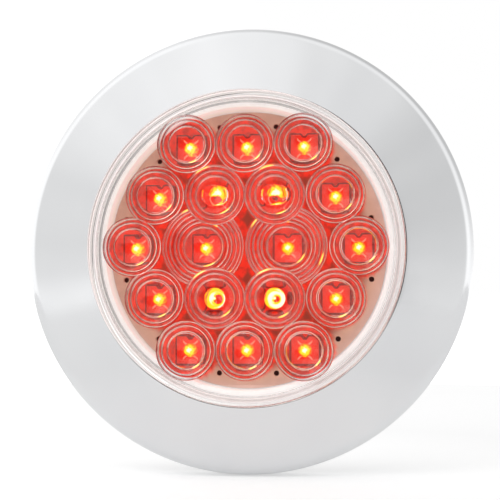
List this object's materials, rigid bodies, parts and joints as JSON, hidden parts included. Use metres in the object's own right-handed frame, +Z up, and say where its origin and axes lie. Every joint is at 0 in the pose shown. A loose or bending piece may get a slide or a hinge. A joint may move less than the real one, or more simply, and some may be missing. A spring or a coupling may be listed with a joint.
{
  "type": "round led trailer tail light",
  "caption": "Round clear-lens LED stop, turn and tail light held by a wide chrome twist-and-lock bezel on a screwed, gasketed mounting ring.",
  "frame": {"origin": "on the optical axis, at the panel surface that the gasket's back face rests on", "axes": "the lamp faces -Y, +Y goes into the panel along the optical axis, +Z is up and +X is to the right as seen from in front"},
  "size_m": [0.147, 0.0465, 0.147],
  "materials": {
    "chrome_plate": "bright chrome plating on moulded ABS",
    "black_nylon": "moulded, faintly textured",
    "black_foam": "closed-cell foam",
    "black_rubber": "matt",
    "pale_silicone": "milky silicone bead",
    "clear_polycarbonate": "clear, polished, with moulded ring optics inside",
    "white_abs": "white, semi-gloss",
    "white_board": "white solder mask, lit pink by the diodes",
    "dark_epoxy": "poured, self-levelled",
    "red_led_epoxy": "tinted clear epoxy, lit",
    "zinc_steel": "bright zinc plate",
    "resistor_enamel": "enamel with colour bands",
    "diode_moulding": "black moulding with a grey cathode band",
    "tinned_brass": "tinned"
  },
  "bodies": {
    "mount": {"foam_gasket": "black_foam", "mounting_ring": "black_nylon", "mounting_screw_1": "zinc_steel", "mounting_screw_2": "zinc_steel", "mounting_screw_3": "zinc_steel", "mounting_screw_4": "zinc_steel", "cushion_ring": "black_rubber", "lens": "clear_polycarbonate", "housing": "white_abs", "lens_seal": "pale_silicone", "circuit_board": "white_board", "led_01": "red_led_epoxy", "led_02": "red_led_epoxy", "led_03": "red_led_epoxy", "led_04": "red_led_epoxy", "led_05": "red_led_epoxy", "led_06": "red_led_epoxy", "led_07": "red_led_epoxy", "led_08": "red_led_epoxy", "led_09": "red_led_epoxy", "led_10": "red_led_epoxy", "led_11": "red_led_epoxy", "led_12": "red_led_epoxy", "led_13": "red_led_epoxy", "led_14": "red_led_epoxy", "led_15": "red_led_epoxy", "led_16": "red_led_epoxy", "led_17": "red_led_epoxy", "led_18": "red_led_epoxy", "resistor_1": "resistor_enamel", "resistor_2": "resistor_enamel", "resistor_3": "resistor_enamel", "resistor_4": "resistor_enamel", "resistor_5": "resistor_enamel", "resistor_6": "resistor_enamel", "diode_1": "diode_moulding", "diode_2": "diode_moulding", "potting": "dark_epoxy", "terminal_tail": "tinned_brass", "terminal_ground": "tinned_brass", "terminal_stop": "tinned_brass"},
    "bezel": {"bezel": "chrome_plate"}
  },
  "joints": [
    {"name": "bezel_twist", "type": "hinge", "parent": "mount", "child": "bezel", "pos_m": [0, -0.009, 0], "axis": [0, -1, 0], "range_deg": [0, 24]}
  ]
}
